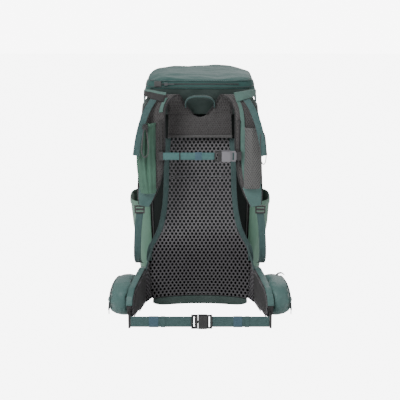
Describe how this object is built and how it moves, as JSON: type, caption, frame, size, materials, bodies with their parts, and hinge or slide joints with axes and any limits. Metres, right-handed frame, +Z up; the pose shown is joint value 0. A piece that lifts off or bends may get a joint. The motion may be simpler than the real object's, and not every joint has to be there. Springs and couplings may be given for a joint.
{
  "type": "hiking backpack",
  "caption": "Tall hiking backpack with a tensioned mesh back, padded harness and hip belt with pockets, sliding sternum strap and a buckled zip lid.",
  "frame": {"origin": "middle of the flat base, on the floor", "axes": "+Z up the pack, -Y towards the wearer's back, +X towards the viewer's right when facing the harness"},
  "size_m": [0.5014, 0.5273, 0.67],
  "materials": {
    "shell_cloth": "matte",
    "dark_cloth": "matte",
    "grey_cloth": "matte",
    "leaf_cloth": "matte",
    "mesh": "matte",
    "foam": "matte",
    "webbing": "matte",
    "lifter_webbing": "matte",
    "black_webbing": "matte",
    "frame_tube": "satin",
    "buckle": "satin",
    "whistle_buckle": "satin",
    "cord_lock": "satin",
    "cord": "matte",
    "rail": "satin",
    "zip": "satin",
    "zip_pull": "satin",
    "belt_pocket": "matte"
  },
  "bodies": {
    "pack": {"base_panel": "dark_cloth", "back_panel": "grey_cloth", "front_panel": "shell_cloth", "side_panel_left": "grey_cloth", "side_panel_right": "grey_cloth", "collar": "dark_cloth", "collar_drawcord": "cord", "collar_cord_lock": "cord_lock", "frame_hoop": "frame_tube", "frame_cross_bars": "frame_tube", "lumbar_shelf": "dark_cloth", "mesh_panel": "mesh", "yoke": "foam", "lid_flap": "dark_cloth", "side_pocket_left": "leaf_cloth", "side_pocket_right": "leaf_cloth", "front_pocket": "dark_cloth", "lid_buckle_sockets": "buckle", "load_lifter_left": "lifter_webbing", "load_lifter_right": "lifter_webbing", "lower_webbing_left": "webbing", "lower_webbing_right": "webbing"},
    "lid": {"lid_shell": "shell_cloth", "lid_liner": "dark_cloth", "lid_zip_track": "zip"},
    "lid_slider": {"lid_zip_slider": "zip"},
    "lid_strap_left": {"lid_strap_left": "black_webbing"},
    "lid_strap_right": {"lid_strap_right": "black_webbing"},
    "handle": {"grab_handle": "webbing"},
    "collar_button": {"collar_lock_button": "cord_lock"},
    "strap_left": {"shoulder_strap_left": "foam", "sternum_rail_left": "rail", "flask_pocket": "leaf_cloth", "flask_cord_lock": "cord_lock", "flask_cord": "cord", "strap_ladder_lock_left": "buckle"},
    "strap_right": {"shoulder_strap_right": "foam", "sternum_rail_right": "rail", "strap_mesh_pocket": "mesh", "strap_ladder_lock_right": "buckle"},
    "flask_button": {"flask_lock_button": "cord_lock"},
    "sternum_left": {"sternum_slider_left": "cord_lock"},
    "sternum_strap": {"sternum_webbing": "webbing", "sternum_buckle_plug": "buckle"},
    "sternum_right": {"sternum_slider_right": "cord_lock", "sternum_buckle_socket": "whistle_buckle"},
    "wing_left": {"hip_wing_left": "foam", "hip_pocket_left": "belt_pocket", "wing_ladder_lock_left": "buckle"},
    "wing_right": {"hip_wing_right": "foam", "hip_pocket_right": "belt_pocket", "wing_ladder_lock_right": "buckle"},
    "hip_slider_left": {"hip_zip_slider_left": "zip_pull"},
    "hip_slider_right": {"hip_zip_slider_right": "zip_pull"},
    "waist_left": {"waist_webbing_left": "webbing", "waist_buckle_plug": "buckle"},
    "waist_right": {"waist_webbing_right": "webbing", "waist_buckle_socket": "buckle"},
    "prong_upper": {"waist_prong_upper": "buckle"},
    "prong_lower": {"waist_prong_lower": "buckle"}
  },
  "joints": [
    {"name": "lid_open", "type": "hinge", "parent": "pack", "child": "lid", "pos_m": [0, -0.133, 0.626], "axis": [1, 0, 0], "range_deg": [0, 80]},
    {"name": "lid_zip", "type": "slide", "parent": "lid", "child": "lid_slider", "axis": [1, 0, 0], "range_m": [0, 0.17]},
    {"name": "lid_strap_left_fold", "type": "hinge", "parent": "lid", "child": "lid_strap_left", "pos_m": [-0.085, 0.163, 0.578], "axis": [1, 0, 0], "range_deg": [-80, 0]},
    {"name": "lid_strap_right_fold", "type": "hinge", "parent": "lid", "child": "lid_strap_right", "pos_m": [0.085, 0.163, 0.578], "axis": [1, 0, 0], "range_deg": [-80, 0]},
    {"name": "handle_fold", "type": "hinge", "parent": "pack", "child": "handle", "pos_m": [0, -0.124, 0.574], "axis": [1, 0, 0], "range_deg": [0, 45]},
    {"name": "collar_lock_press", "type": "slide", "parent": "pack", "child": "collar_button", "axis": [0, 1, 0], "range_m": [0, 0.003], "stiffness_N_per_m": 200, "springref_m": -0.001},
    {"name": "strap_left_swing", "type": "hinge", "parent": "pack", "child": "strap_left", "pos_m": [0, -0.162, 0.619], "axis": [-1, 0, 0], "range_deg": [0, 25]},
    {"name": "strap_right_swing", "type": "hinge", "parent": "pack", "child": "strap_right", "pos_m": [0, -0.162, 0.619], "axis": [-1, 0, 0], "range_deg": [0, 25]},
    {"name": "flask_lock_press", "type": "slide", "parent": "strap_left", "child": "flask_button", "axis": [0, 1, 0], "range_m": [0, 0.003], "stiffness_N_per_m": 200, "springref_m": -0.001},
    {"name": "sternum_left_slide", "type": "slide", "parent": "strap_left", "child": "sternum_left", "axis": [0, 0, 1], "range_m": [-0.005, 0.07]},
    {"name": "sternum_right_slide", "type": "slide", "parent": "strap_right", "child": "sternum_right", "axis": [0, 0, 1], "range_m": [-0.005, 0.07]},
    {"name": "sternum_unclip", "type": "slide", "parent": "sternum_left", "child": "sternum_strap", "axis": [-1, 0, 0], "range_m": [0, 0.019]},
    {"name": "wing_left_open", "type": "hinge", "parent": "pack", "child": "wing_left", "pos_m": [-0.16578, -0.11633, 0.066], "axis": [0, 0, -1], "range_deg": [0, 25]},
    {"name": "wing_right_open", "type": "hinge", "parent": "pack", "child": "wing_right", "pos_m": [0.16578, -0.11633, 0.066], "axis": [0, 0, 1], "range_deg": [0, 25]},
    {"name": "waist_left_turn", "type": "hinge", "parent": "wing_left", "child": "waist_left", "pos_m": [-0.18869, -0.33326, 0.032], "axis": [0, 0, 1], "range_deg": [0, 25]},
    {"name": "waist_right_turn", "type": "hinge", "parent": "wing_right", "child": "waist_right", "pos_m": [0.18869, -0.33326, 0.032], "axis": [0, 0, -1], "range_deg": [0, 25]},
    {"name": "hip_zip_left", "type": "hinge", "parent": "wing_left", "child": "hip_slider_left", "pos_m": [-0.23876, -0.20845, 0.042], "axis": [-0.986, 0.1668, 0], "range_deg": [0, 140]},
    {"name": "hip_zip_right", "type": "hinge", "parent": "wing_right", "child": "hip_slider_right", "pos_m": [0.23876, -0.20845, 0.042], "axis": [0.986, 0.1668, 0], "range_deg": [0, 140]},
    {"name": "prong_upper_press", "type": "hinge", "parent": "waist_left", "child": "prong_upper", "pos_m": [-0.0056, -0.33826, 0.0444], "axis": [0, 1, 0], "range_deg": [0, 9], "stiffness_Nm_per_rad": 2},
    {"name": "prong_lower_press", "type": "hinge", "parent": "waist_left", "child": "prong_lower", "pos_m": [-0.0056, -0.33826, 0.0196], "axis": [0, -1, 0], "range_deg": [0, 9], "stiffness_Nm_per_rad": 2}
  ],
  "couplings": [
    {"joint": "lid_strap_left_fold", "follows": "lid_open", "ratio": -1},
    {"joint": "lid_strap_right_fold", "follows": "lid_open", "ratio": -1},
    {"joint": "strap_right_swing", "follows": "strap_left_swing", "ratio": 1},
    {"joint": "sternum_right_slide", "follows": "sternum_left_slide", "ratio": 1},
    {"joint": "wing_right_open", "follows": "wing_left_open", "ratio": 1},
    {"joint": "waist_left_turn", "follows": "wing_left_open", "ratio": 1},
    {"joint": "waist_right_turn", "follows": "wing_left_open", "ratio": 1},
    {"joint": "prong_lower_press", "follows": "prong_upper_press", "ratio": 1}
  ]
}
